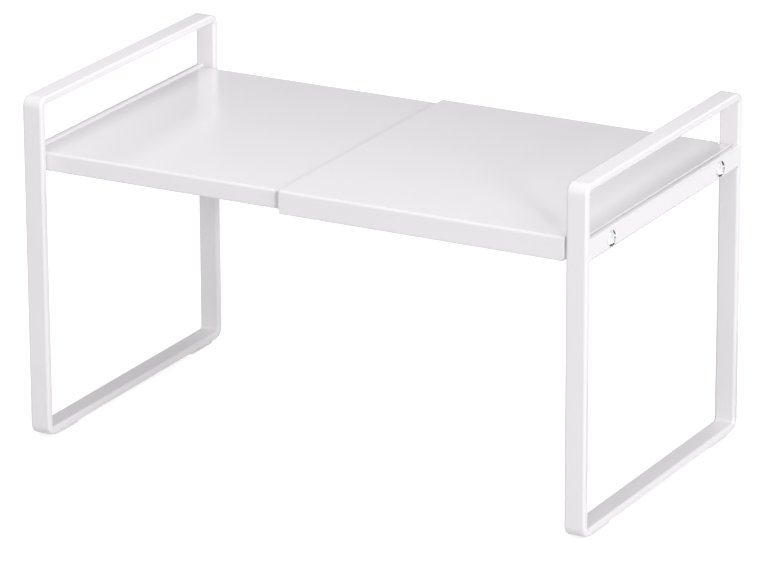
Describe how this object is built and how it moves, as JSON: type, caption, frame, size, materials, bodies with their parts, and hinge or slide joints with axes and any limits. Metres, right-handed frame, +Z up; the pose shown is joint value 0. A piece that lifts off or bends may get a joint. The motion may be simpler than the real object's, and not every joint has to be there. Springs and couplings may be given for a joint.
{
  "type": "expandable shelf organizer",
  "caption": "Freestanding countertop riser whose two folded sheet trays slide one inside the other between closed rectangular leg loops that rise above the shelf as handles.",
  "frame": {"origin": "centre of the footprint on the surface that the foot pads stand on, at the pictured width", "axes": "+X along the shelf towards the larger outer tray, +Y to the back, +Z up"},
  "size_m": [0.4538, 0.25, 0.2578],
  "materials": {
    "powder_coat": "semi gloss white powder coat on steel",
    "chrome_screw": "polished",
    "zinc_nut": "bright zinc plate",
    "foot_pad": "matt silicone",
    "nylon": "moulded nylon"
  },
  "bodies": {
    "outer_half": {"right_leg_frame": "powder_coat", "right_cross_rail": "powder_coat", "outer_tray": "powder_coat", "right_front_screw": "chrome_screw", "right_front_nut": "zinc_nut", "right_front_foot_pad": "foot_pad", "right_back_screw": "chrome_screw", "right_back_nut": "zinc_nut", "right_back_foot_pad": "foot_pad", "front_mouth_guide": "nylon", "back_mouth_guide": "nylon"},
    "inner_half": {"left_leg_frame": "powder_coat", "left_cross_rail": "powder_coat", "inner_tray": "powder_coat", "left_front_screw": "chrome_screw", "left_front_nut": "zinc_nut", "left_front_foot_pad": "foot_pad", "left_back_screw": "chrome_screw", "left_back_nut": "zinc_nut", "left_back_foot_pad": "foot_pad", "front_end_glide": "nylon", "back_end_glide": "nylon"}
  },
  "joints": [
    {"name": "shelf_slide", "type": "slide", "parent": "outer_half", "child": "inner_half", "axis": [-1, 0, 0], "range_m": [-0.189, 0.0033]}
  ]
}
